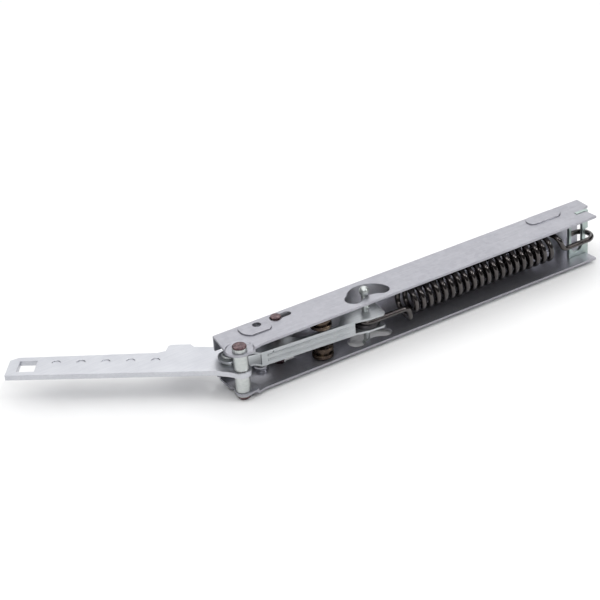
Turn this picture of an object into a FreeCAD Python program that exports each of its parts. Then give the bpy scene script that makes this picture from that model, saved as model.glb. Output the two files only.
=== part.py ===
import FreeCAD, Part
import math
import os
import re

import Sketcher

# Sprung oven-door hinge: a folded steel channel, a swinging arm, a connecting link, a slider pin that
# rides in two kidney slots, and a tension spring hooked between the slider and an anchor plate.
#
# Frame, in millimetres: the origin is on the main pivot's axis at mid height. +Z runs along the
# pivot's axis, +X along the channel towards the spring's anchor, +Y towards the channel's web.

Vector = FreeCAD.Vector
doc = FreeCAD.newDocument("OvenDoorHinge")

# Driving dimensions. Every alias is a cell of the sheet.
SIZES = {
    "sheetThick": 1.5,
    "channelHeight": 30.0,
    "channelLeft": -5.0,
    "channelRight": 252.0,
    "frontTabRight": 247.5,
    "openEdgeY": -3.5,
    "webOuterY": 21.5,
    "bendRadius": 1.6,
    "seatDepth": 1.5,
    "seatRadius": 7.2,
    "earRadius": 5.6,
    "lowerTrim": 1.4,
    "notchRight": 27.5,
    "notchHeight": 10.4,
    "screwX": 19.5,
    "screwY": 14.3,
    "screwBore": 2.5,
    "screwCollar": 4.0,
    "screwDepth": 4.0,
    "padLeft": 214.0,
    "padRight": 229.0,
    "padY": 15.0,
    "padHalfWidth": 4.6,
    "anchorSlotLeft": 239.5,
    "anchorSlotFront": 5.2,
    "anchorSlotBack": 7.8,
    "plateThick": 2.2,
    "plateLeft": 233.9,
    "plateRight": 248.4,
    "plateWindowLeft": 235.6,
    "plateWindowRight": 244.0,
    "plateWindowHeight": 21.0,
    "plateNotch": 2.0,
    "plateTip": 0.4,
    "pivotRadius": 3.0,
    "spacerRadius": 4.25,
    "bushRadius": 4.2,
    "headWasher": 2.2,
    "tailWasher": 1.2,
    "rivetHead": 1.3,
    "rivetTail": 2.0,
    "rivetHeadRim": 1.1,
    "rivetTailRim": 0.4,
    "armThick": 3.2,
    "armLength": 133.0,
    "armFront": 1.4,
    "armBack": 19.2,
    "armRest": 144.4,
    "windowNear": 117.0,
    "windowFar": 127.0,
    "windowBack": 14.0,
    "windowFront": 2.6,
    "stampCount": 5,
    "stampFirst": 49.5,
    "stampStep": 14.1,
    "stampFlat": 11.2,
    "stampRadius": 2.5,
    "stampDepth": 0.5,
    "crankX": -0.7,
    "crankY": 12.0,
    "crankRadius": 2.5,
    "crankHead": 1.1,
    "crankHeadRim": 1.6,
    "eyeRadius": 6.5,
    "sliderX": 85.5,
    "sliderY": 5.4,
    "sliderRadius": 1.8,
    "sliderTail": 2.0,
    "shankRise": 1.9,
    "ballRise": 2.6,
    "collarBottom": 7.0,
    "collarTop": 9.4,
    "linkHeight": 9.0,
    "linkThick": 1.2,
    "linkWebOffset": 7.4,
    "linkEndRadius": 9.0,
    "ribHeight": 1.5,
    "ribRadius": 0.7,
    "gaugeHeight": 3.0,
    "gaugeRadius": 0.45,
    "rollerX": 55.0,
    "rollerY": 4.5,
    "rollerRadius": 6.3,
    "rollerGroove": 1.5,
    "rollerBottom": 6.2,
    "grooveBottom": 8.5,
    "grooveTop": 10.5,
    "rollerTop": 12.8,
    "clipBottom": 5.3,
    "clipTop": 6.0,
    "axleRadius": 1.5,
    "lockX": 32.6,
    "lockY": 15.6,
    "lockTravel": 7.5,
    "lockRadius": 2.1,
    "lockEyeRadius": 3.6,
    "lockHead": 1.1,
    "lockShoulder": 0.9,
    "shoulderHeight": 1.3,
    "wireRadius": 1.6,
    "coilRadius": 7.9,
    "coilY": 7.5,
    "coilStart": 113.0,
    "coilPitch": 5.2,
    "coilTurns": 20.5,
    "hookLegY": -2.4,
    "hookEyeRadius": 6.2,
    "hookHeight": 1.3,
    "hookGap": 0.25,
    "rearLegY": -1.3,
    "rearHookZ": -0.8,
    "rearHookPlay": 0.75,
    "spoolRadius": 8.2,
    "spoolTop": -0.7,
    "padRise": 0.9,
    "pressGap": 0.02,
    "runningGap": 0.04,
    "thrustGap": 0.1,
    "slotClearance": 0.25,
    "axleSink": 0.6,
    "linkFollow": -0.02,
    "armClosed": -54.4,
    "armOpen": 35.6,
}

sheet = doc.addObject("Spreadsheet::Sheet", "Sizes")
for row, (alias, value) in enumerate(SIZES.items(), start=1):
    sheet.set(f"A{row}", alias)
    sheet.set(f"B{row}", str(value))
    sheet.setAlias(f"B{row}", alias)
doc.recompute()


def size(alias):
    """Return the value of one cell, in millimetres or degrees."""
    return float(sheet.get(alias))


def bind(item, **formulas):
    """Bind properties of an object to formulas of the sheet's aliases."""
    for name, formula in formulas.items():
        item.setExpression(name.replace("_", "."), linked(formula))


def linked(formula):
    """Put the sheet's name before each alias in a formula."""
    return re.sub(r"[A-Za-z][A-Za-z0-9]*", lambda word: alias_name(word.group()), formula)


def alias_name(word):
    """Name a cell as other objects see it, and leave functions such as atan2 alone."""
    return "Sizes." + word if word in SIZES else word


def cylinder(name, radius, bottom, top, x="0", y="0"):
    """An upright cylinder between two heights, all given as formulas."""
    item = doc.addObject("Part::Cylinder", name)
    bind(item, Radius=radius, Height=f"({top}) - ({bottom})")
    bind(item, Placement_Base_x=x, Placement_Base_y=y, Placement_Base_z=bottom)
    return item


def turned(name, layers, x="0", y="0", bore=None, head=None):
    """A turned piece: stacked cylinders (radius, bottom, top), with an optional bore.

    head is (height, radius of the rounding), which rounds every outer edge at that height.
    """
    parts = [cylinder(f"{name}_step{index}", *layer, x=x, y=y) for index, layer in enumerate(layers)]
    item = parts[0]
    if len(parts) > 1:
        item = doc.addObject("Part::MultiFuse", f"{name}_steps")
        item.Shapes = parts
        item.Refine = True
    if bore:
        hole = cylinder(f"{name}_bore", bore, f"{layers[0][1]} - 1", f"{layers[-1][2]} + 1", x=x, y=y)
        drilled = doc.addObject("Part::Cut", f"{name}_drilled")
        drilled.Base = item
        drilled.Tool = hole
        item = drilled
    if head:
        item = rounded(name, item, *head)
    item.Label = name
    return item


def rounded(name, base, heights, radius):
    """Round the widest circular edge at each of the given heights."""
    doc.recompute()
    picks = []
    for height in heights:
        circles = [
            (edge.BoundBox.XLength, index)
            for index, edge in enumerate(base.Shape.Edges, start=1)
            if abs(edge.BoundBox.ZMin - height) < 1e-4 and abs(edge.BoundBox.ZMax - height) < 1e-4
        ]
        picks.append((max(circles)[1], radius, radius))
    fillet = doc.addObject("Part::Fillet", f"{name}_rounded")
    fillet.Base = base
    fillet.Edges = picks
    return fillet


def new_body(name):
    """A PartDesign body whose label names its file."""
    body = doc.addObject("PartDesign::Body", name)
    body.Label = name
    return body


def attached(body, kind, name, role="XY_Plane"):
    """A new feature of a body, attached to one of the body's own origin planes."""
    item = body.newObject(kind, name)
    plane = next(feature for feature in body.Origin.OriginFeatures if feature.Role == role)
    item.AttachmentSupport = [(plane, "")]
    item.MapMode = "FlatFace"
    return item


def new_sketch(body, name, role="XY_Plane", offset="0"):
    """A sketch on one of the body's origin planes, moved along the plane's normal."""
    sketch = attached(body, "Sketcher::SketchObject", name, role)
    bind(sketch, AttachmentOffset_Base_z=offset)
    return sketch


def draw(sketch, *corners):
    """Draw one closed outline. A corner is a point, or a pair: a point on the arc, then its end."""
    start = Vector(*corners[0], 0)
    closed = isinstance(corners[-1][0], tuple) and Vector(*corners[-1][1], 0).isEqual(start, 1e-9)
    here = start
    for corner in corners[1:] if closed else corners[1:] + (corners[0],):
        if isinstance(corner[0], tuple):
            end = Vector(*corner[1], 0)
            sketch.addGeometry(Part.Arc(here, Vector(*corner[0], 0), end))
        else:
            end = Vector(*corner, 0)
            sketch.addGeometry(Part.LineSegment(here, end))
        here = end


def draw_circle(sketch, x, y, radius):
    """Draw a full circle and bind its centre and radius to the sheet. All three are formulas."""
    index = sketch.addGeometry(Part.Circle(Vector(1, 1, 0), Vector(0, 0, 1), 1))
    centre = 3
    origin = (-1, 1)
    for kind, formula in (("DistanceX", x), ("DistanceY", y)):
        number = sketch.addConstraint(Sketcher.Constraint(kind, *origin, index, centre, 1))
        sketch.setExpression(f"Constraints[{number}]", linked(formula))
    number = sketch.addConstraint(Sketcher.Constraint("Radius", index, 1))
    sketch.setExpression(f"Constraints[{number}]", linked(radius))


def extrude(body, sketch, kind, length, name):
    """Pad or pocket a sketch by the same amount to both sides of its plane."""
    feature = body.newObject(f"PartDesign::{kind}", name)
    feature.Profile = sketch
    feature.SideType = "Symmetric"
    bind(feature, Length=length)
    doc.recompute()
    return feature


def soften(body, name, radius, wanted):
    """Round the edges of a body whose bounding boxes pass a test."""
    tip = body.Tip
    edges = [
        f"Edge{index}"
        for index, edge in enumerate(tip.Shape.Edges, start=1)
        if wanted(edge.BoundBox)
    ]
    fillet = body.newObject("PartDesign::Fillet", name)
    fillet.Base = (tip, edges)
    bind(fillet, Radius=radius)
    doc.recompute()


def box(body, kind, name, low, high):
    """An additive or subtractive box between two corners, given as formulas."""
    item = attached(body, f"PartDesign::{kind}Box", name)
    for side, bottom, top in zip(("Length", "Width", "Height"), low, high):
        item.setExpression(side, linked(f"({top}) - ({bottom})"))
    for axis, bottom in zip("xyz", low):
        item.setExpression(f"AttachmentOffset.Base.{axis}", linked(bottom))
    return item


def drum(body, kind, name, radius, bottom, top, x, y):
    """An additive or subtractive upright cylinder, given as formulas."""
    item = attached(body, f"PartDesign::{kind}Cylinder", name)
    bind(item, Radius=radius, Height=f"({top}) - ({bottom})")
    bind(item, AttachmentOffset_Base_x=x, AttachmentOffset_Base_y=y, AttachmentOffset_Base_z=bottom)
    return item


def around(centre, radius, angle):
    """A point on a circle, from its centre, radius and angle in degrees."""
    turn = math.radians(angle)
    return (centre[0] + radius * math.cos(turn), centre[1] + radius * math.sin(turn))


# The linkage: the arm's crank turns about the origin, and the link joins it to the slider pin.
crank = (size("crankX"), size("crankY"))
slider = (size("sliderX"), size("sliderY"))
link_length = math.hypot(slider[0] - crank[0], slider[1] - crank[1])
link_rest = math.degrees(math.atan2(slider[1] - crank[1], slider[0] - crank[0]))


def slider_at(arm_turn):
    """The slider pin's centre once the arm has turned from rest by this many degrees."""
    reach = math.hypot(*crank)
    crank_rest = math.degrees(math.atan2(crank[1], crank[0]))
    link_turn = size("linkFollow") * arm_turn
    return around(around((0, 0), reach, crank_rest + arm_turn), link_length, link_rest + link_turn)


def channel_housing():
    """The folded channel: web, two flanges, sunk pivot seats, slots, holes and screw collars."""
    body = new_body("channel_housing")
    left, right, front = size("channelLeft"), size("channelRight"), size("openEdgeY")
    back, thick = size("webOuterY"), size("sheetThick")
    ear = size("earRadius")
    slot_left, slot_front = size("anchorSlotLeft"), size("anchorSlotFront")
    slot_back, front_right = size("anchorSlotBack"), size("frontTabRight")
    ear_left = (left - 2.6, 4.2)
    ear_arc = ((-4.9, -3.0), (0.0, -ear))
    outline = new_sketch(body, "channel_outline")
    draw(
        outline,
        (left, back),
        ear_left,
        ear_arc,
        (7.0, -4.7),
        (12.0, front),
        (front_right, front),
        (front_right - 0.9, slot_front),
        (slot_left, slot_front),
        (slot_left, slot_back),
        (front_right - 1.0, slot_back),
        (right, slot_back + 2.4),
        (right, back),
    )
    extrude(body, outline, "Pad", "channelHeight", "channel_block")

    clear = 40.0
    inner = back - thick
    hollow = ((-clear, -clear), (right + clear, -clear), (right + clear, inner), (-clear, inner))
    deep = new_sketch(body, "cavity_between_seats")
    draw(deep, *hollow)
    extrude(body, deep, "Pocket", "channelHeight - 2 * (sheetThick + seatDepth)", "seat_gap")
    wide = new_sketch(body, "cavity_around_seats")
    draw(wide, *hollow)
    draw_circle(wide, "0", "0", "seatRadius + sheetThick")
    extrude(body, wide, "Pocket", "channelHeight - 2 * sheetThick", "channel_cavity")

    soften(
        body,
        "outer_bends",
        "bendRadius",
        lambda edge: edge.XLength > right / 2 and edge.YMin > back - 0.01,
    )

    for side, name in ((1, "upper"), (-1, "lower")):
        seat = attached(body, "PartDesign::SubtractiveCone", f"{name}_pivot_seat")
        bind(seat, Radius1="seatRadius", Radius2="seatRadius + seatDepth", Height="seatDepth")
        seat.AttachmentOffset = FreeCAD.Placement(
            Vector(0, 0, side * (size("channelHeight") / 2 - size("seatDepth"))),
            FreeCAD.Rotation(Vector(1, 0, 0), 0 if side > 0 else 180),
        )
    doc.recompute()

    # The lower flange is cut back at its left end, where the upper one reaches past it.
    trim = new_sketch(body, "lower_left_trim", offset="-channelHeight / 2")
    low_left = left + size("lowerTrim")
    draw(
        trim,
        (low_left, back + clear),
        (low_left, back - 4),
        (low_left + 0.2, 4.0),
        ((-4.4, -2.2), (-2.8, -4.85)),
        (-clear, -4.85),
        (-clear, back + clear),
    )
    extrude(body, trim, "Pocket", "2 * sheetThick + 2 * seatDepth", "lower_left_cut")

    box(
        body,
        "Subtractive",
        "arm_notch",
        ("channelLeft - 20", "webOuterY - 4", "-notchHeight / 2"),
        ("notchRight", "webOuterY + 4", "notchHeight / 2"),
    )

    slots = new_sketch(body, "flange_slots")
    draw_kidney(slots)
    draw_keyhole(slots)
    extrude(body, slots, "Pocket", "2 * channelHeight", "flange_slot_cuts")

    low = "channelHeight / 2 - screwDepth"
    high = "channelHeight / 2"
    for name, ends in (("upper", (low, high)), ("lower", (f"-({high})", f"-({low})"))):
        drum(body, "Additive", f"{name}_screw_collar", "screwCollar", *ends, "screwX", "screwY")
        doc.recompute()
    through = ("-channelHeight", "channelHeight")
    drum(body, "Subtractive", "pivot_hole", "pivotRadius + pressGap", *through, "0", "0")
    blind = "channelHeight / 2 - sheetThick + axleSink"
    ends = (f"-({blind})", blind)
    drum(body, "Subtractive", "axle_sockets", "axleRadius + pressGap", *ends, "rollerX", "rollerY")
    doc.recompute()

    for side, name in ((1, "upper"), (-1, "lower")):
        raised_pad(body, f"{name}_stiffening_pad", side, long_pad_outline())
        raised_pad(body, f"{name}_screw_boss", side, screw_boss_outline())
    drum(body, "Subtractive", "screw_bore", "screwBore", *through, "screwX", "screwY")
    doc.recompute()
    return body


def long_pad_outline():
    """The long pad near the spring's anchor: two straight sides and two round ends."""
    left, right = size("padLeft"), size("padRight")
    middle, half = size("padY"), size("padHalfWidth")
    return (
        (left, middle - half),
        (right, middle - half),
        ((right + half, middle), (right, middle + half)),
        (left, middle + half),
        ((left - half, middle), (left, middle - half)),
    )


def screw_boss_outline():
    """The raised seat round the screw's hole, cut away towards the pivot."""
    return (
        (12.4, 6.6),
        (22.6, 6.4),
        ((25.1, 7.4), (26.1, 9.9)),
        (26.1, 15.5),
        ((25.1, 18.0), (22.6, 19.0)),
        (12.0, 19.0),
        ((9.3, 17.9), (8.2, 15.2)),
        (8.2, 13.0),
        ((9.4, 9.2), (12.4, 6.6)),
    )


def raised_pad(body, name, side, outline):
    """Raise part of a flange's outer face a little, with a rounded edge. side is 1 or -1."""
    height = side * (size("channelHeight") / 2 + size("padRise"))
    margin = 10
    left, right = outline[0][0] - margin, outline[1][0] + margin
    sketch = new_sketch(body, f"{name}_outline", offset=f"{side} * channelHeight / 2")
    draw(sketch, *outline)
    extrude(body, sketch, "Pad", "2 * padRise", name)
    soften(
        body,
        f"{name}_edge",
        "padRise * 0.6",
        lambda edge: max(abs(edge.ZMin - height), abs(edge.ZMax - height)) < 1e-4
        and left < edge.XMin
        and edge.XMax < right,
    )


def draw_kidney(sketch):
    """The kidney slot: its front edge runs beside the slider pin's own path."""
    gap = size("sliderRadius") + size("slotClearance")
    path = [slider_at(turn) for turn in (size("armOpen"), size("armOpen") / 2 - 14, size("armClosed"))]
    circle = Part.Arc(*[Vector(x, y, 0) for x, y in path]).toShape().Curve
    centre = (circle.Center.x, circle.Center.y)
    edge_radius = circle.Radius - gap
    ends = [math.degrees(math.atan2(y - centre[1], x - centre[0])) for x, y in (path[0], path[2])]
    first, last = around(centre, edge_radius, ends[0] + 4), around(centre, edge_radius, ends[1])
    crown = around(centre, edge_radius, (ends[0] + ends[1]) / 2)
    draw(
        sketch,
        first,
        (crown, last),
        ((100.6, 1.9), (101.2, 6.6)),
        ((99.6, 10.2), (97.2, 12.9)),
        ((86.2, 16.5), (76.6, 10.4)),
        ((73.2, 3.6), first),
    )


def draw_keyhole(sketch):
    """The lock pin's keyhole: a round eye with a narrow slot towards the spring."""
    x, y = size("lockX"), size("lockY")
    eye = size("lockEyeRadius")
    half = size("lockRadius") + size("slotClearance")
    end = x + size("lockTravel")
    neck = math.sqrt(eye * eye - half * half)
    draw(
        sketch,
        (x + neck, y + half),
        ((x - eye, y), (x + neck, y - half)),
        (end, y - half),
        ((end + half, y), (end, y + half)),
    )


def spring_anchor_plate():
    """The flat plate that the rear hook pulls against the closed ends of the anchor slots."""
    body = new_body("spring_anchor_plate")
    inside = size("channelHeight") / 2 - size("sheetThick") - size("pressGap")
    tip = size("channelHeight") / 2 + size("plateTip")
    left, right = size("plateLeft"), size("plateRight")
    notch = right - size("plateNotch")
    shoulder = size("anchorSlotLeft") + size("pressGap")
    middle = -(size("anchorSlotFront") + size("anchorSlotBack")) / 2
    sketch = new_sketch(body, "plate_outline", role="XZ_Plane", offset=str(middle))
    draw(
        sketch,
        (left, -inside),
        (shoulder, -inside),
        (shoulder, -tip),
        (right, -tip),
        (right, -4.8),
        (notch, -4.4),
        (notch, 2.8),
        (right, 3.2),
        (right, tip),
        (shoulder, tip),
        (shoulder, inside),
        (left, inside),
    )
    x0, x1 = size("plateWindowLeft"), size("plateWindowRight")
    half = (x1 - x0) / 2
    reach = size("plateWindowHeight") / 2 - half
    draw(
        sketch,
        (x1, -reach),
        (x1, reach),
        (((x0 + x1) / 2, reach + half), (x0, reach)),
        (x0, -reach),
        (((x0 + x1) / 2, -reach - half), (x1, -reach)),
    )
    extrude(body, sketch, "Pad", "plateThick", "plate")
    return body


def hinge_arm():
    """The flat arm, drawn along +X from the pivot and then turned to its resting angle."""
    body = new_body("hinge_arm")
    sketch = new_sketch(body, "arm_outline")
    long, front, back = size("armLength"), size("armFront"), -size("armBack")
    eye = size("eyeRadius") - 0.8
    turn = math.radians(size("armRest"))
    crank_u = crank[0] * math.cos(turn) + crank[1] * math.sin(turn)
    crank_v = -crank[0] * math.sin(turn) + crank[1] * math.cos(turn)
    lean = math.degrees(math.atan2(crank_v, crank_u)) - 90
    boss = size("eyeRadius")
    draw(
        sketch,
        (long, front - 0.3),
        (15.0, front),
        (6.0, 3.6),
        around((0, 0), eye, 50),
        (around((0, 0), eye, 150), around((0, 0), eye, lean)),
        around((crank_u, crank_v), boss, lean),
        (around((crank_u, crank_v), boss, lean + 25), around((crank_u, crank_v), boss, lean + 50)),
        (18.0, back - 4.6),
        (29.4, back - 5.6),
        (31.6, back - 8.3),
        (42.6, back - 8.3),
        (44.2, back - 7.0),
        (45.0, back - 1.7),
        (49.6, back),
        (long - 4.6, back + 1.5),
        (long, back + 4.4),
    )
    near, far = size("windowNear"), size("windowFar")
    low, high = -size("windowBack"), -size("windowFront")
    draw(sketch, (near, low), (far, low), (far, high), (near, high))
    draw_circle(sketch, "0", "0", "bushRadius + pressGap")
    extrude(body, sketch, "Pad", "armThick", "arm_blank")
    stamps = new_sketch(body, "half_round_stamps", offset="armThick / 2")
    flat, half = -size("stampFlat"), size("stampRadius")
    for index in range(int(size("stampCount"))):
        middle = size("stampFirst") + index * size("stampStep")
        first, last = (middle - half, flat), (middle + half, flat)
        draw(stamps, first, last, ((middle, flat - half), first))
    extrude(body, stamps, "Pocket", "2 * stampDepth", "half_round_marks")
    crank_hole = attached(body, "PartDesign::SubtractiveCylinder", "crank_hole")
    bind(crank_hole, Radius="crankRadius + pressGap", Height="3 * armThick")
    bind(crank_hole, AttachmentOffset_Base_z="-1.5 * armThick")
    crank_hole.setExpression("AttachmentOffset.Base.x", str(crank_u))
    crank_hole.setExpression("AttachmentOffset.Base.y", str(crank_v))
    body.setExpression("Placement.Rotation.Angle", linked("armRest"))
    return body


def link_channel():
    """The link, drawn along +X from the crank pin: a shallow channel with deep ears at its ends."""
    body = new_body("link_channel")
    web, lip = -size("linkWebOffset"), -size("linkWebOffset") + size("linkThick") + 0.9
    eye, end = size("eyeRadius"), size("linkEndRadius")
    web_left, web_right = 16.2, link_length - 10.8
    outline = new_sketch(body, "link_outline")
    far = (link_length, 0.0)
    draw(
        outline,
        around((0, 0), eye, -53),
        (6.4, -3.8),
        (13.0, -3.8),
        (web_left, web),
        (web_right, web),
        around(far, end + 0.2, -103),
        (link_length + 6.2, -end),
        ((link_length + 8.2, -8.0), (link_length + 8.9, -6.0)),
        (link_length + 8.9, 4.0),
        ((link_length + 6.8, 8.0), around(far, end + 0.2, 75)),
        around(far, end, 105),
        (72.0, 3.0),
        (66.0, lip),
        (42.0, lip),
        (35.0, 1.5),
        (10.0, 5.8),
        around((0, 0), eye, 68),
        (around((0, 0), eye, 180), around((0, 0), eye, -53)),
    )
    extrude(body, outline, "Pad", "linkHeight", "link_block")
    hollow = new_sketch(body, "link_hollow")
    clear = 40.0
    inner = web + size("linkThick")
    draw(
        hollow,
        (-clear, -clear),
        (web_left, -clear),
        (web_left, inner),
        (web_right, inner),
        (web_right, -clear),
        (link_length + clear, -clear),
        (link_length + clear, clear),
        (-clear, clear),
    )
    extrude(body, hollow, "Pocket", "linkHeight - 2 * linkThick", "link_cavity")
    through = ("-linkHeight", "linkHeight")
    drum(body, "Subtractive", "crank_eye", "crankRadius + runningGap", *through, "0", "0")
    slider_eye = drum(body, "Subtractive", "slider_eye", "sliderRadius + pressGap", *through, "0", "0")
    slider_eye.setExpression("AttachmentOffset.Base.x", str(link_length))
    doc.recompute()
    lying = FreeCAD.Rotation(Vector(0, 1, 0), 90)
    margin = 4
    for height in (-size("ribHeight"), size("ribHeight")):
        rib = attached(body, "PartDesign::AdditiveCylinder", "web_rib")
        rib.AttachmentOffset = FreeCAD.Placement(Vector(web_left + margin, web + 0.1, height), lying)
        bind(rib, Radius="ribRadius")
        rib.Height = web_right - web_left - 2 * margin
    gauge = attached(body, "PartDesign::SubtractiveCylinder", "gauge_hole")
    standing = FreeCAD.Rotation(Vector(1, 0, 0), 90)
    gauge.AttachmentOffset = FreeCAD.Placement(Vector(web_left + 7.5, web + 3, size("gaugeHeight")), standing)
    bind(gauge, Radius="gaugeRadius", Height="5 * linkThick")
    bind(body, Placement_Base_x="crankX", Placement_Base_y="crankY")
    body.setExpression("Placement.Rotation.Angle", linked("atan2(sliderY - crankY; sliderX - crankX)"))
    return body


def mirrored_pair(name, layers, **options):
    """Make an upper piece from its layers, and a lower one that is its mirror image."""
    upper = turned(f"{name}_upper", layers, **options)
    flipped = [(radius, f"-({top})", f"-({bottom})") for radius, bottom, top in reversed(layers)]
    lower = turned(f"{name}_lower", flipped, **options)
    return [upper, lower]


def pivot_pieces():
    """The main rivet, its washers and the two spacers that hold the arm at mid height."""
    seat = "channelHeight / 2 - seatDepth"
    top_seat, tail_seat = f"{seat} + headWasher", f"-({seat}) - tailWasher"
    washer_top = size("channelHeight") / 2 - size("seatDepth") + size("headWasher")
    layers = [
        ("pivotRadius + rivetTailRim", f"{tail_seat} - rivetTail", tail_seat),
        ("pivotRadius", tail_seat, top_seat),
        ("pivotRadius + rivetHeadRim", top_seat, f"{top_seat} + rivetHead"),
    ]
    rivet = turned("pivot_rivet", layers, head=([washer_top + size("rivetHead")], 0.9))
    fit = "pivotRadius + pressGap"
    washers = [
        turned("pivot_head_washer", [("spacerRadius", seat, top_seat)], bore=fit),
        turned("pivot_tail_washer", [("spacerRadius", tail_seat, f"-({seat})")], bore=fit),
    ]
    spacer = [("spacerRadius", "armThick / 2 + thrustGap", f"{seat} - sheetThick - pressGap")]
    spacers = mirrored_pair("pivot_spacer", spacer, bore=fit)
    bush = turned(
        "arm_pivot_bush",
        [("bushRadius", "-armThick / 2", "armThick / 2")],
        bore="pivotRadius + runningGap",
    )
    return [rivet, bush] + washers + spacers


def roller_pieces():
    """The fixed axle between the flanges, its two grooved rollers, their washers and clips."""
    place = {"x": "rollerX", "y": "rollerY"}
    ends = "channelHeight / 2 - sheetThick + axleSink - pressGap"
    axle = turned("roller_axle", [("axleRadius", f"-({ends})", ends)], **place)
    roller = [
        ("rollerRadius", "rollerBottom", "grooveBottom"),
        ("rollerRadius - rollerGroove", "grooveBottom", "grooveTop"),
        ("rollerRadius", "grooveTop", "rollerTop"),
    ]
    rollers = mirrored_pair("cam_roller", roller, bore="axleRadius + runningGap", **place)
    fit = "axleRadius + pressGap"
    clips = mirrored_pair("roller_clip", [("axleRadius + 1.4", "clipBottom", "clipTop")], bore=fit, **place)
    washer = [("axleRadius + 1.8", "rollerTop + thrustGap", "channelHeight / 2 - sheetThick - pressGap")]
    washers = mirrored_pair("roller_washer", washer, bore=fit, **place)
    return [axle] + rollers + clips + washers


def crank_pieces():
    """The rivet that joins the arm to the link, and the washers between them."""
    place = {"x": "crankX", "y": "crankY"}
    face = "linkHeight / 2 + thrustGap"
    layers = [
        ("crankRadius + crankHeadRim", f"-({face}) - crankHead", f"-({face})"),
        ("crankRadius", f"-({face})", face),
        ("crankRadius + crankHeadRim", face, f"{face} + crankHead"),
    ]
    tip = size("linkHeight") / 2 + size("thrustGap") + size("crankHead")
    pin = turned("crank_pin", layers, head=([tip, -tip], 0.7), **place)
    washer = [("crankRadius + 2.7", "armThick / 2 + thrustGap", "linkHeight / 2 - linkThick - thrustGap")]
    return [pin] + mirrored_pair("crank_washer", washer, bore="crankRadius + runningGap", **place)


def slider_pieces():
    """The ball-headed slider pin with its lower head, collars and the spool for the spring's hook."""
    place = {"x": "sliderX", "y": "sliderY"}
    tail = "channelHeight / 2 + sliderTail"
    shank_top = "channelHeight / 2 + shankRise"
    shank = cylinder("slider_shank", "sliderRadius", f"-({tail})", shank_top, **place)
    ball = doc.addObject("Part::Sphere", "slider_ball")
    bind(ball, Radius="sliderRadius * 1.65", Placement_Base_x="sliderX", Placement_Base_y="sliderY")
    bind(ball, Placement_Base_z="channelHeight / 2 + ballRise")
    pin = doc.addObject("Part::Fuse", "slider_pin_fused")
    pin.Base = shank
    pin.Tool = ball
    pin.Label = "slider_pin"
    fit = "sliderRadius + pressGap"
    low_head = [("sliderRadius * 1.5", f"-({tail})", "-channelHeight / 2 - 0.4")]
    head = turned("slider_pin_lower_head", low_head, bore=fit, **place)
    collar = [("sliderRadius + 0.8", "collarBottom", "collarTop")]
    collars = mirrored_pair("slider_collar", collar, bore=fit, **place)
    inside = "linkHeight / 2 - linkThick - thrustGap"
    layers = [("spoolRadius", f"-({inside})", "spoolTop"), ("sliderRadius + 0.4", "spoolTop", inside)]
    spool = turned("hook_spool", layers, bore=fit, **place)
    return [pin, head, spool] + collars


def lock_pieces():
    """The lock pin that crosses both keyholes, and its riveted lower head."""
    place = {"x": "lockX", "y": "lockY"}
    under = "channelHeight / 2 - sheetThick - 0.3"
    over = "channelHeight / 2 + 0.1"
    shoulder = "lockRadius + lockShoulder"
    layers = [
        ("lockRadius", f"-({over}) - lockHead", f"-({under})"),
        (shoulder, f"-({under})", f"-({under}) + shoulderHeight"),
        ("lockRadius", f"-({under}) + shoulderHeight", f"{under} - shoulderHeight"),
        (shoulder, f"{under} - shoulderHeight", under),
        ("lockRadius", under, over),
        ("lockRadius + 1", over, f"{over} + lockHead"),
    ]
    top = size("channelHeight") / 2 + 0.1 + size("lockHead")
    pin = turned("lock_pin", layers, head=([top], 0.5), **place)
    low = [("lockRadius + 1", f"-({over}) - lockHead", f"-({over})")]
    return [pin, turned("lock_pin_lower_head", low, bore="lockRadius + pressGap", **place)]


def bent_wire(name, points, bends):
    """Round wire along straight runs that tangent arcs of the given radii join."""
    points = [Vector(*point) for point in points]
    edges = []
    here = points[0]
    for before, corner, after, bend in zip(points, points[1:], points[2:], bends):
        inward = (corner - before).normalize()
        outward = (after - corner).normalize()
        turn = inward.getAngle(outward)
        reach = bend * math.tan(turn / 2)
        arc_start = corner - inward * reach
        arc_end = corner + outward * reach
        towards = (outward - inward).normalize()
        arc_middle = corner + towards * (bend / math.cos(turn / 2) - bend)
        if here.distanceToPoint(arc_start) > 1e-6:
            edges.append(Part.LineSegment(here, arc_start).toShape())
        edges.append(Part.Arc(arc_start, arc_middle, arc_end).toShape())
        here = arc_end
    edges.append(Part.LineSegment(here, points[-1]).toShape())
    path = Part.Wire(edges)
    start = edges[0].tangentAt(edges[0].FirstParameter)
    ring = Part.Wire(Part.makeCircle(size("wireRadius"), points[0], start))
    wire = doc.addObject("Part::Feature", name)
    wire.Shape = path.makePipeShell([ring], True, True)
    wire.Label = name
    expected = path.Length * math.pi * size("wireRadius") ** 2
    if abs(wire.Shape.Volume / expected - 1) > 0.02:
        raise ValueError(f"{name} was swept wrongly")
    return wire


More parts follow.
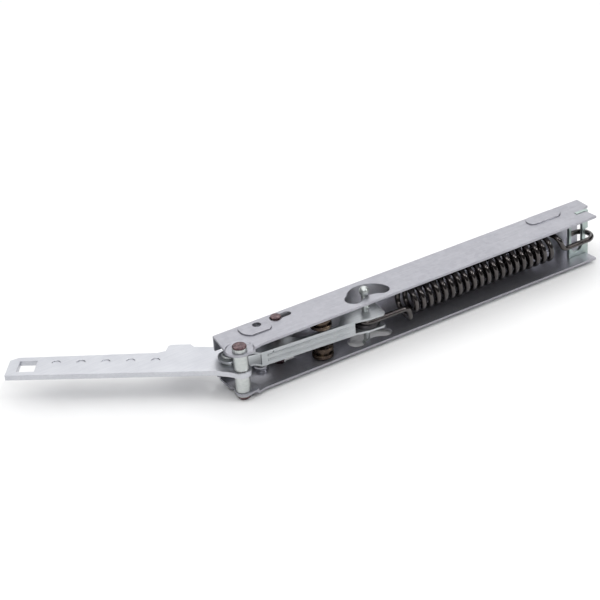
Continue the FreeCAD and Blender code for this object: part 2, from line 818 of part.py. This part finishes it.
def spring_pieces():
    """The tension spring: a right-handed coil and the two hooks that it is bent from."""
    coil_y, radius, start = size("coilY"), size("coilRadius"), size("coilStart")
    end = start + size("coilPitch") * size("coilTurns")
    gap = size("hookGap")
    leg, up, bow = size("hookLegY"), size("hookHeight"), size("hookEyeRadius")
    front = bent_wire(
        "spring_front_hook",
        [
            (start - gap, coil_y - gap, -radius),
            (start - 1.0, leg + 0.6, -radius),
            (start - 3.2, leg, up),
            (slider[0] - bow, leg, up),
            (slider[0] - bow, leg + 2 * bow, up),
            (slider[0] + 7.0, leg + 2 * bow, up),
        ],
        [4.0, 4.4, bow - 0.01, bow - 0.01],
    )
    front_leg, level = size("rearLegY"), size("rearHookZ")
    back_leg = front_leg + 2 * bow
    notch = size("plateRight") - size("plateNotch")
    right = notch + size("wireRadius") + size("rearHookPlay")
    rear = bent_wire(
        "spring_rear_hook",
        [
            (end + gap, coil_y - gap, radius),
            (end + 1.2, -0.9, radius - 0.2),
            (end + 4.6, front_leg, level),
            (right, front_leg, level),
            (right, back_leg, level),
            (right - 10.0, back_leg, level),
        ],
        [5.0, 4.0, bow - 0.01, bow - 0.01],
    )
    helix = doc.addObject("Part::Helix", "coil_path")
    bind(helix, Pitch="coilPitch", Height="coilPitch * coilTurns", Radius="coilRadius")
    section = doc.addObject("Part::Circle", "wire_section")
    bind(section, Radius="wireRadius")
    section.Placement = FreeCAD.Placement(Vector(radius, 0, 0), FreeCAD.Rotation(Vector(1, 0, 0), 90))
    coil = doc.addObject("Part::Sweep", "spring_coil_sweep")
    coil.Sections = [section]
    coil.Spine = (helix, ["Edge1"])
    coil.Solid = True
    coil.Frenet = True
    coil.Label = "spring_coil"
    coil.Placement = FreeCAD.Placement(Vector(start, coil_y, 0), FreeCAD.Rotation(Vector(0, 1, 0), 90))
    return [front, rear, coil]


def write_nodes(nodes):
    """Check every object and every sub-part, then write one file for each sub-part."""
    doc.recompute()
    for item in doc.Objects:
        if "Invalid" in item.State or "Error" in item.State:
            raise ValueError(f"{item.Name} failed: {item.State}")
    os.makedirs("parts", exist_ok=True)
    for node in nodes:
        if node.Shape.isNull() or not node.Shape.isValid():
            raise ValueError(f"{node.Label} has no valid shape")
        if len(node.Shape.Solids) != 1:
            raise ValueError(f"{node.Label} has {len(node.Shape.Solids)} solids")
        node.Shape.exportStep(f"parts/{node.Label}.step")
        print(node.Label, round(node.Shape.Volume, 1))


pieces = [channel_housing(), spring_anchor_plate(), hinge_arm(), link_channel()]
pieces += pivot_pieces() + roller_pieces() + crank_pieces() + slider_pieces() + lock_pieces()
pieces += spring_pieces()
write_nodes(pieces)
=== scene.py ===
import math

import bmesh
import bpy
from mathutils import Matrix, Vector


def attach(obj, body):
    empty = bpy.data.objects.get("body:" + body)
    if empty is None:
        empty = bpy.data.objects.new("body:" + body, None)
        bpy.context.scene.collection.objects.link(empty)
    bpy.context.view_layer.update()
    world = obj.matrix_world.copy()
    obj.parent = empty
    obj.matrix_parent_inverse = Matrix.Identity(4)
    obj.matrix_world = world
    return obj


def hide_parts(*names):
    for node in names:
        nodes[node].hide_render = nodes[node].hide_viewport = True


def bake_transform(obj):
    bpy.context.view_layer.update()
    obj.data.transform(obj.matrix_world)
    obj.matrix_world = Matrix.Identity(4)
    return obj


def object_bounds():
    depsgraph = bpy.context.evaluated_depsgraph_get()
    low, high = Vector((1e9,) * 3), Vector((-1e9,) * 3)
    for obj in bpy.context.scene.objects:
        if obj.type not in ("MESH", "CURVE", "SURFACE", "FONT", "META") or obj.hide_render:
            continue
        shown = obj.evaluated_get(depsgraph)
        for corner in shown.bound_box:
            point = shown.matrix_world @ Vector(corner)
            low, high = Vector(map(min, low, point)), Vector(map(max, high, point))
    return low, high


# Looks for a sprung oven-door hinge: sheared steel sheet, plated links, tempered rivets and one
# continuous wire spring. Lengths are metres. +Z runs along the main pivot, +X towards the spring's
# anchor, +Y towards the channel's web.

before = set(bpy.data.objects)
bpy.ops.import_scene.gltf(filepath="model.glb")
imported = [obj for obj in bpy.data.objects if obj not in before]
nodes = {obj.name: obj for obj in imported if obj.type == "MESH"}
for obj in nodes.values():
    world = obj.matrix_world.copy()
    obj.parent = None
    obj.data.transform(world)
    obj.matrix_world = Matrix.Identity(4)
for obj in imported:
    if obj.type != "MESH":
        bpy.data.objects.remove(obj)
cad_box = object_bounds()
MM = 0.001
FLOOR_GAP = 0.2 * MM
FLOOR_REACH = 6.0
WELD = 0.002 * MM
SHARP_EDGE = math.radians(50.0)
FLAT_ENOUGH = math.radians(0.3)


# ---------------------------------------------------------------- finishes

def new_finish(name, metallic, coat=0.0):
    """A node material and its shader, with Object coordinates ready to use."""
    finish = bpy.data.materials.new(name)
    finish.use_nodes = True
    tree = finish.node_tree
    shader = tree.nodes["Principled BSDF"]
    shader.inputs["Metallic"].default_value = metallic
    shader.inputs["Coat Weight"].default_value = coat
    place = tree.nodes.new("ShaderNodeTexCoord")
    return finish, tree, shader, place.outputs["Object"]


def stretched(tree, place, scale, turn=0.0):
    """Object coordinates, turned about Z and then stretched along each axis."""
    mapping = tree.nodes.new("ShaderNodeMapping")
    mapping.inputs["Rotation"].default_value = (0.0, 0.0, turn)
    mapping.inputs["Scale"].default_value = scale
    tree.links.new(place, mapping.inputs["Vector"])
    return mapping.outputs["Vector"]


def grain(tree, place, scale, detail=4.0, roughness=0.55):
    """A fractal noise pattern, from 0 to 1."""
    noise = tree.nodes.new("ShaderNodeTexNoise")
    noise.inputs["Scale"].default_value = scale
    noise.inputs["Detail"].default_value = detail
    noise.inputs["Roughness"].default_value = roughness
    tree.links.new(place, noise.inputs["Vector"])
    return noise.outputs["Fac"]


def crystals(tree, place, scale):
    """Cells with a random shade each, like zinc spangle."""
    cells = tree.nodes.new("ShaderNodeTexVoronoi")
    cells.inputs["Scale"].default_value = scale
    cells.inputs["Randomness"].default_value = 1.0
    tree.links.new(place, cells.inputs["Vector"])
    shade = tree.nodes.new("ShaderNodeSeparateColor")
    tree.links.new(cells.outputs["Color"], shade.inputs["Color"])
    return shade.outputs["Red"]


def mixed(tree, first, second, share):
    """A blend of two patterns, with the given share of the second."""
    mix = tree.nodes.new("ShaderNodeMix")
    mix.data_type = "FLOAT"
    mix.inputs["Factor"].default_value = share
    tree.links.new(first, mix.inputs[2])
    tree.links.new(second, mix.inputs[3])
    return mix.outputs[0]


def shaded(tree, shader, pattern, stops):
    """Colour the surface along a ramp. Each stop is (place, colour)."""
    ramp = tree.nodes.new("ShaderNodeValToRGB")
    ends = ramp.color_ramp.elements
    for index, (at, colour) in enumerate(stops):
        stop = ends[index] if index < 2 else ends.new(at)
        stop.position = at
        stop.color = (*colour, 1.0)
    tree.links.new(pattern, ramp.inputs["Fac"])
    tree.links.new(ramp.outputs["Color"], shader.inputs["Base Color"])


def roughened(tree, shader, pattern, low, high):
    """Vary the roughness between two values with a pattern."""
    spread = tree.nodes.new("ShaderNodeMapRange")
    spread.inputs["From Min"].default_value = 0.25
    spread.inputs["From Max"].default_value = 0.75
    spread.inputs["To Min"].default_value = low
    spread.inputs["To Max"].default_value = high
    tree.links.new(pattern, spread.inputs["Value"])
    tree.links.new(spread.outputs["Result"], shader.inputs["Roughness"])


def dented(tree, shader, pattern, strength, depth):
    """Raise and lower the surface's shading with a pattern, by a depth in metres."""
    bump = tree.nodes.new("ShaderNodeBump")
    bump.inputs["Strength"].default_value = strength
    bump.inputs["Distance"].default_value = depth
    tree.links.new(pattern, bump.inputs["Height"])
    tree.links.new(bump.outputs["Normal"], shader.inputs["Normal"])


def galvanised_sheet():
    """Rolled sheet with a fine zinc spangle and faint lines along its length."""
    finish, tree, shader, place = new_finish("galvanised_sheet", 0.85)
    spangle = crystals(tree, place, 420.0)
    rolled = grain(tree, stretched(tree, place, (60.0, 900.0, 900.0)), 1.0, 3.0)
    clouds = grain(tree, place, 45.0, 3.0)
    pattern = mixed(tree, mixed(tree, spangle, clouds, 0.7), rolled, 0.45)
    shaded(tree, shader, pattern, [(0.25, (0.32, 0.32, 0.355)), (0.75, (0.44, 0.44, 0.475))])
    roughened(tree, shader, pattern, 0.30, 0.42)
    fine = grain(tree, place, 1500.0, 2.0)
    dented(tree, shader, mixed(tree, pattern, fine, 0.3), 0.12, 0.00005)
    return finish


def bright_zinc(name, turn, light, dark):
    """Blue-white plating over sheet that was rolled along one direction."""
    finish, tree, shader, place = new_finish(name, 0.9)
    brushed = grain(tree, stretched(tree, place, (90.0, 1100.0, 1100.0), turn), 1.0, 4.0)
    clouds = grain(tree, place, 70.0, 4.0)
    pattern = mixed(tree, brushed, clouds, 0.5)
    shaded(tree, shader, pattern, [(0.3, dark), (0.7, light)])
    roughened(tree, shader, pattern, 0.26, 0.42)
    dented(tree, shader, pattern, 0.2, 0.00005)
    return finish


def tempered_wire():
    """Oil-tempered wire: dark brown, with a glossy oiled skin and a faint mottle."""
    finish, tree, shader, place = new_finish("tempered_wire", 0.9, 1.0)
    shader.inputs["Coat Roughness"].default_value = 0.08
    mottled = grain(tree, place, 260.0, 5.0)
    stops = [(0.25, (0.022, 0.017, 0.016)), (0.6, (0.050, 0.041, 0.039)), (0.85, (0.10, 0.086, 0.082))]
    shaded(tree, shader, mottled, stops)
    roughened(tree, shader, mottled, 0.12, 0.22)
    dented(tree, shader, grain(tree, place, 1400.0, 2.0), 0.05, 0.00003)
    return finish


def tempered_rivet():
    """Hardened rivet steel with a brown-purple temper colour and worn patches."""
    finish, tree, shader, place = new_finish("tempered_rivet", 0.8, 0.2)
    shader.inputs["Coat Roughness"].default_value = 0.2
    patches = mixed(tree, crystals(tree, place, 900.0), grain(tree, place, 350.0, 4.0), 0.6)
    stops = [(0.25, (0.055, 0.032, 0.040)), (0.6, (0.14, 0.085, 0.09)), (0.85, (0.34, 0.24, 0.24))]
    shaded(tree, shader, patches, stops)
    roughened(tree, shader, patches, 0.28, 0.5)
    dented(tree, shader, patches, 0.3, 0.0001)
    return finish


def bronze_roller():
    """Oiled sintered bronze: copper brown, lighter where it has been rubbed."""
    finish, tree, shader, place = new_finish("bronze_roller", 0.9)
    rings = grain(tree, stretched(tree, place, (40.0, 40.0, 2600.0)), 1.0)
    rubbed = mixed(tree, grain(tree, place, 300.0), rings, 0.5)
    stops = [(0.3, (0.035, 0.025, 0.021)), (0.55, (0.085, 0.062, 0.048)), (0.75, (0.34, 0.265, 0.17))]
    shaded(tree, shader, rubbed, stops)
    roughened(tree, shader, rubbed, 0.18, 0.34)
    dented(tree, shader, rubbed, 0.2, 0.00006)
    return finish


def dark_oxide():
    """Black oiled oxide on the spool and the axle."""
    finish, tree, shader, place = new_finish("dark_oxide", 0.7)
    worn = grain(tree, place, 420.0, 4.0)
    shaded(tree, shader, worn, [(0.3, (0.018, 0.017, 0.019)), (0.75, (0.09, 0.085, 0.09))])
    roughened(tree, shader, worn, 0.26, 0.44)
    dented(tree, shader, worn, 0.2, 0.00005)
    return finish


def pale_floor():
    """A matt paper sweep with a barely visible tooth."""
    finish, tree, shader, place = new_finish("pale_floor", 0.0)
    tooth = grain(tree, place, 35.0, 3.0)
    shaded(tree, shader, tooth, [(0.2, (0.90, 0.90, 0.90)), (0.8, (0.93, 0.93, 0.93))])
    roughened(tree, shader, tooth, 0.85, 0.95)
    return finish


GALVANISED = galvanised_sheet()
ARM_ZINC = bright_zinc("arm_zinc", math.radians(-144.4), (0.62, 0.63, 0.66), (0.49, 0.50, 0.54))
LINK_ZINC = bright_zinc("link_zinc", math.radians(4.4), (0.54, 0.56, 0.57), (0.38, 0.40, 0.42))
PLATE_ZINC = bright_zinc("plate_zinc", 0.0, (0.46, 0.53, 0.51), (0.34, 0.41, 0.39))
TURNED_ZINC = bright_zinc("turned_zinc", 0.0, (0.64, 0.66, 0.65), (0.46, 0.49, 0.48))
WIRE = tempered_wire()
RIVET = tempered_rivet()
BRONZE = bronze_roller()
OXIDE = dark_oxide()


# ---------------------------------------------------------------- pieces

def make_piece(name, mesh_maker, finish, crease=35.0):
    """Turn a finished bmesh into a smooth piece that keeps its sharp creases."""
    mesh = bpy.data.meshes.new(name)
    mesh_maker.to_mesh(mesh)
    mesh_maker.free()
    mesh.shade_smooth()
    mesh.set_sharp_from_angle(angle=math.radians(crease))
    mesh.materials.append(finish)
    piece = bpy.data.objects.new(name, mesh)
    bpy.context.scene.collection.objects.link(piece)
    level = piece.modifiers.new("flat_faces_stay_flat", "WEIGHTED_NORMAL")
    level.mode = "FACE_AREA"
    level.weight = 100
    level.keep_sharp = True
    return piece


def broken_edges(node, width, finish, body, segments=2):
    """A copy of a CAD node whose sharp edges are rounded over, as tumbling leaves them."""
    shell = bmesh.new()
    shell.from_mesh(nodes[node].data)
    bmesh.ops.remove_doubles(shell, verts=shell.verts, dist=WELD)
    bmesh.ops.dissolve_limit(
        shell,
        angle_limit=FLAT_ENOUGH,
        use_dissolve_boundaries=False,
        verts=shell.verts,
        edges=shell.edges,
        delimit={"NORMAL"},
    )
    sharp = [edge for edge in shell.edges if edge.is_convex and edge.calc_face_angle(0.0) > SHARP_EDGE]
    bmesh.ops.bevel(
        shell,
        geom=sharp,
        offset=width,
        offset_type="OFFSET",
        affect="EDGES",
        segments=segments,
        profile=0.5,
        material=-1,
        clamp_overlap=True,
    )
    piece = make_piece(f"{node}_finished", shell, finish)
    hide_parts(node)
    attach(piece, body)
    return piece


def last_ring(made):
    """The edges and corners of the ring that an extrusion ended on."""
    return [item for item in made if isinstance(item, (bmesh.types.BMVert, bmesh.types.BMEdge))]


def drawn_on(wire, ring, way):
    """Extend the wire straight along a vector."""
    made = bmesh.ops.spin(wire, geom=ring, cent=(0, 0, 0), axis=(0, 0, 1), dvec=way, angle=0.0, steps=1)
    return last_ring(made["geom_last"])


def bent_on(wire, ring, centre, axis, angle, steps, rise=(0, 0, 0)):
    """Bend the wire on round a centre, with an optional rise at each step."""
    made = bmesh.ops.spin(wire, geom=ring, cent=centre, axis=axis, dvec=rise, angle=angle, steps=steps)
    return last_ring(made["geom_last"])


def routed(wire, ring, points, bends):
    """Run the wire along straight stretches that tangent bends of the given radii join."""
    here = points[0]
    for before, corner, after, bend in zip(points, points[1:], points[2:], bends):
        inward = (corner - before).normalized()
        outward = (after - corner).normalized()
        turn = inward.angle(outward)
        reach = bend * math.tan(turn / 2)
        start = corner - inward * reach
        if (start - here).length > 0.01 * MM:
            ring = drawn_on(wire, ring, start - here)
        inside = corner + (outward - inward).normalized() * (bend / math.cos(turn / 2))
        steps = max(4, round(math.degrees(turn) / 10))
        ring = bent_on(wire, ring, inside, inward.cross(outward), turn, steps)
        here = corner + outward * reach
    return drawn_on(wire, ring, points[-1] - here)


def tension_spring():
    """One length of wire: the hook round the slider's spool, the coil, and the hook in the anchor."""
    wire_radius, coil_radius, pitch, turns = 1.6 * MM, 7.9 * MM, 5.2 * MM, 20.5
    coil_start = Vector((113.0, 7.5, 0.0)) * MM
    coil_end = coil_start + Vector((pitch * turns, 0, 0))
    slider_x, leg, level, bow = 85.5 * MM, -2.4 * MM, 1.3 * MM, 6.2 * MM
    eye_bend = bow - 0.01 * MM
    front = [
        Vector((slider_x + 7.0 * MM, leg + 2 * bow, level)),
        Vector((slider_x - bow, leg + 2 * bow, level)),
        Vector((slider_x - bow, leg, level)),
        Vector((coil_start.x - 3.2 * MM, leg, level)),
        Vector((coil_start.x - 1.0 * MM, leg + 0.6 * MM, -coil_radius)),
        coil_start + Vector((0, 0, -coil_radius)),
    ]
    wire = bmesh.new()
    facing = Matrix.Translation(front[0]) @ Matrix.Rotation(math.radians(-90.0), 4, "Y")
    made = bmesh.ops.create_circle(wire, cap_ends=False, segments=18, radius=wire_radius, matrix=facing)
    ring = made["verts"] + list(wire.edges)
    ring = routed(wire, ring, front, [eye_bend, eye_bend, 4.4 * MM, 4.0 * MM])
    per_turn = 36
    steps = round(turns * per_turn)
    climb = Vector((pitch / per_turn, 0, 0))
    ring = bent_on(wire, ring, coil_start, (1, 0, 0), turns * math.tau, steps, climb)
    rear_leg, rear_level, rear_right = -1.3 * MM, -0.8 * MM, 248.75 * MM
    rear = [
        coil_end + Vector((0, 0, coil_radius)),
        Vector((coil_end.x + 1.2 * MM, -0.9 * MM, coil_radius - 0.2 * MM)),
        Vector((coil_end.x + 4.6 * MM, rear_leg, rear_level)),
        Vector((rear_right, rear_leg, rear_level)),
        Vector((rear_right, rear_leg + 2 * bow, rear_level)),
        Vector((rear_right - 10.0 * MM, rear_leg + 2 * bow, rear_level)),
    ]
    routed(wire, ring, rear, [5.0 * MM, 4.0 * MM, eye_bend, eye_bend])
    open_ends = [edge for edge in wire.edges if edge.is_boundary]
    bmesh.ops.holes_fill(wire, edges=open_ends, sides=0)
    bmesh.ops.remove_doubles(wire, verts=wire.verts, dist=0.001 * MM)
    bmesh.ops.recalc_face_normals(wire, faces=wire.faces)
    spring = make_piece("tension_spring", wire, WIRE, 50.0)
    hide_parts("spring_front_hook", "spring_coil", "spring_rear_hook")
    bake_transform(spring)


tension_spring()
broken_edges("channel_housing", 0.18 * MM, GALVANISED, "housing")
broken_edges("hinge_arm", 0.3 * MM, ARM_ZINC, "arm")
broken_edges("link_channel", 0.2 * MM, LINK_ZINC, "link")
broken_edges("spring_anchor_plate", 0.2 * MM, PLATE_ZINC, "housing")
for side in ("upper", "lower"):
    broken_edges(f"cam_roller_{side}", 0.45 * MM, BRONZE, f"{side}_roller", 3)
    broken_edges(f"pivot_spacer_{side}", 0.25 * MM, TURNED_ZINC, "housing")
    broken_edges(f"crank_washer_{side}", 0.15 * MM, TURNED_ZINC, "link")
    broken_edges(f"slider_collar_{side}", 0.3 * MM, TURNED_ZINC, "link", 3)
    broken_edges(f"roller_washer_{side}", 0.1 * MM, OXIDE, "housing")
    broken_edges(f"roller_clip_{side}", 0.1 * MM, OXIDE, "housing")
broken_edges("pivot_head_washer", 0.2 * MM, TURNED_ZINC, "housing")
broken_edges("pivot_tail_washer", 0.2 * MM, TURNED_ZINC, "housing")
broken_edges("pivot_rivet", 0.3 * MM, RIVET, "housing", 3)
broken_edges("lock_pin", 0.2 * MM, RIVET, "lock")
broken_edges("lock_pin_lower_head", 0.3 * MM, RIVET, "lock")
broken_edges("hook_spool", 0.3 * MM, OXIDE, "link", 3)
broken_edges("slider_pin", 0.1 * MM, TURNED_ZINC, "link")
broken_edges("slider_pin_lower_head", 0.3 * MM, TURNED_ZINC, "link")
broken_edges("crank_pin", 0.15 * MM, TURNED_ZINC, "arm")
broken_edges("roller_axle", 0.2 * MM, OXIDE, "housing")
broken_edges("arm_pivot_bush", 0.1 * MM, BRONZE, "arm")


# ---------------------------------------------------------------- stage

def lay_floor():
    """A large pale sheet just under the hinge."""
    sheet = bmesh.new()
    bmesh.ops.create_grid(sheet, x_segments=4, y_segments=4, size=FLOOR_REACH)
    bmesh.ops.translate(sheet, verts=sheet.verts, vec=(0, 0, cad_box[0][2] - FLOOR_GAP))
    floor = make_piece("floor", sheet, pale_floor())


def hang_light(name, place, aim, width, depth, power):
    """A soft rectangular light that points at a spot."""
    lamp = bpy.data.lights.new(name, "AREA")
    lamp.shape = "RECTANGLE"
    lamp.size = width
    lamp.size_y = depth
    lamp.energy = power
    light = bpy.data.objects.new(name, lamp)
    light.location = place
    light.rotation_euler = (Vector(aim) - Vector(place)).to_track_quat("-Z", "Y").to_euler()
    bpy.context.scene.collection.objects.link(light)


def light_studio():
    """A dim surround, a soft key overhead, a wide pale card behind and two small boxes in front."""
    scene = bpy.context.scene
    world = bpy.data.worlds.new("studio")
    world.use_nodes = True
    surround = world.node_tree.nodes["Background"]
    surround.inputs["Color"].default_value = (0.95, 0.96, 1.0, 1.0)
    surround.inputs["Strength"].default_value = 0.10
    scene.world = world
    scene.view_settings.view_transform = "Standard"
    middle = (0.06, 0.0, 0.0)
    hang_light("overhead_key", (0.0, 0.0, 1.3), middle, 2.6, 2.6, 32.0)
    hang_light("back_card", (0.8, 1.3, 0.85), middle, 2.4, 1.3, 10.5)
    hang_light("front_box", (-0.35, -0.8, 0.75), middle, 0.25, 0.25, 1.8)
    hang_light("right_box", (0.75, -0.75, 0.6), middle, 0.14, 0.14, 2.2)


def place_camera():
    """A long lens from the front left, above the hinge, with a slight roll."""
    lens = bpy.data.cameras.new("camera")
    lens.lens = 110.57
    lens.sensor_width = 36.0
    lens.clip_start = 0.01
    camera = bpy.data.objects.new("camera", lens)
    swing = Matrix.Rotation(math.radians(-29.39), 4, "Z")
    tilt = Matrix.Rotation(math.radians(90.0 - 29.96), 4, "X")
    roll = Matrix.Rotation(math.radians(-4.77), 4, "Z")
    camera.matrix_world = Matrix.Translation((-0.392, -0.7677, 0.5385)) @ swing @ tilt @ roll
    bpy.context.scene.collection.objects.link(camera)
    bpy.context.scene.camera = camera


lay_floor()
light_studio()
place_camera()
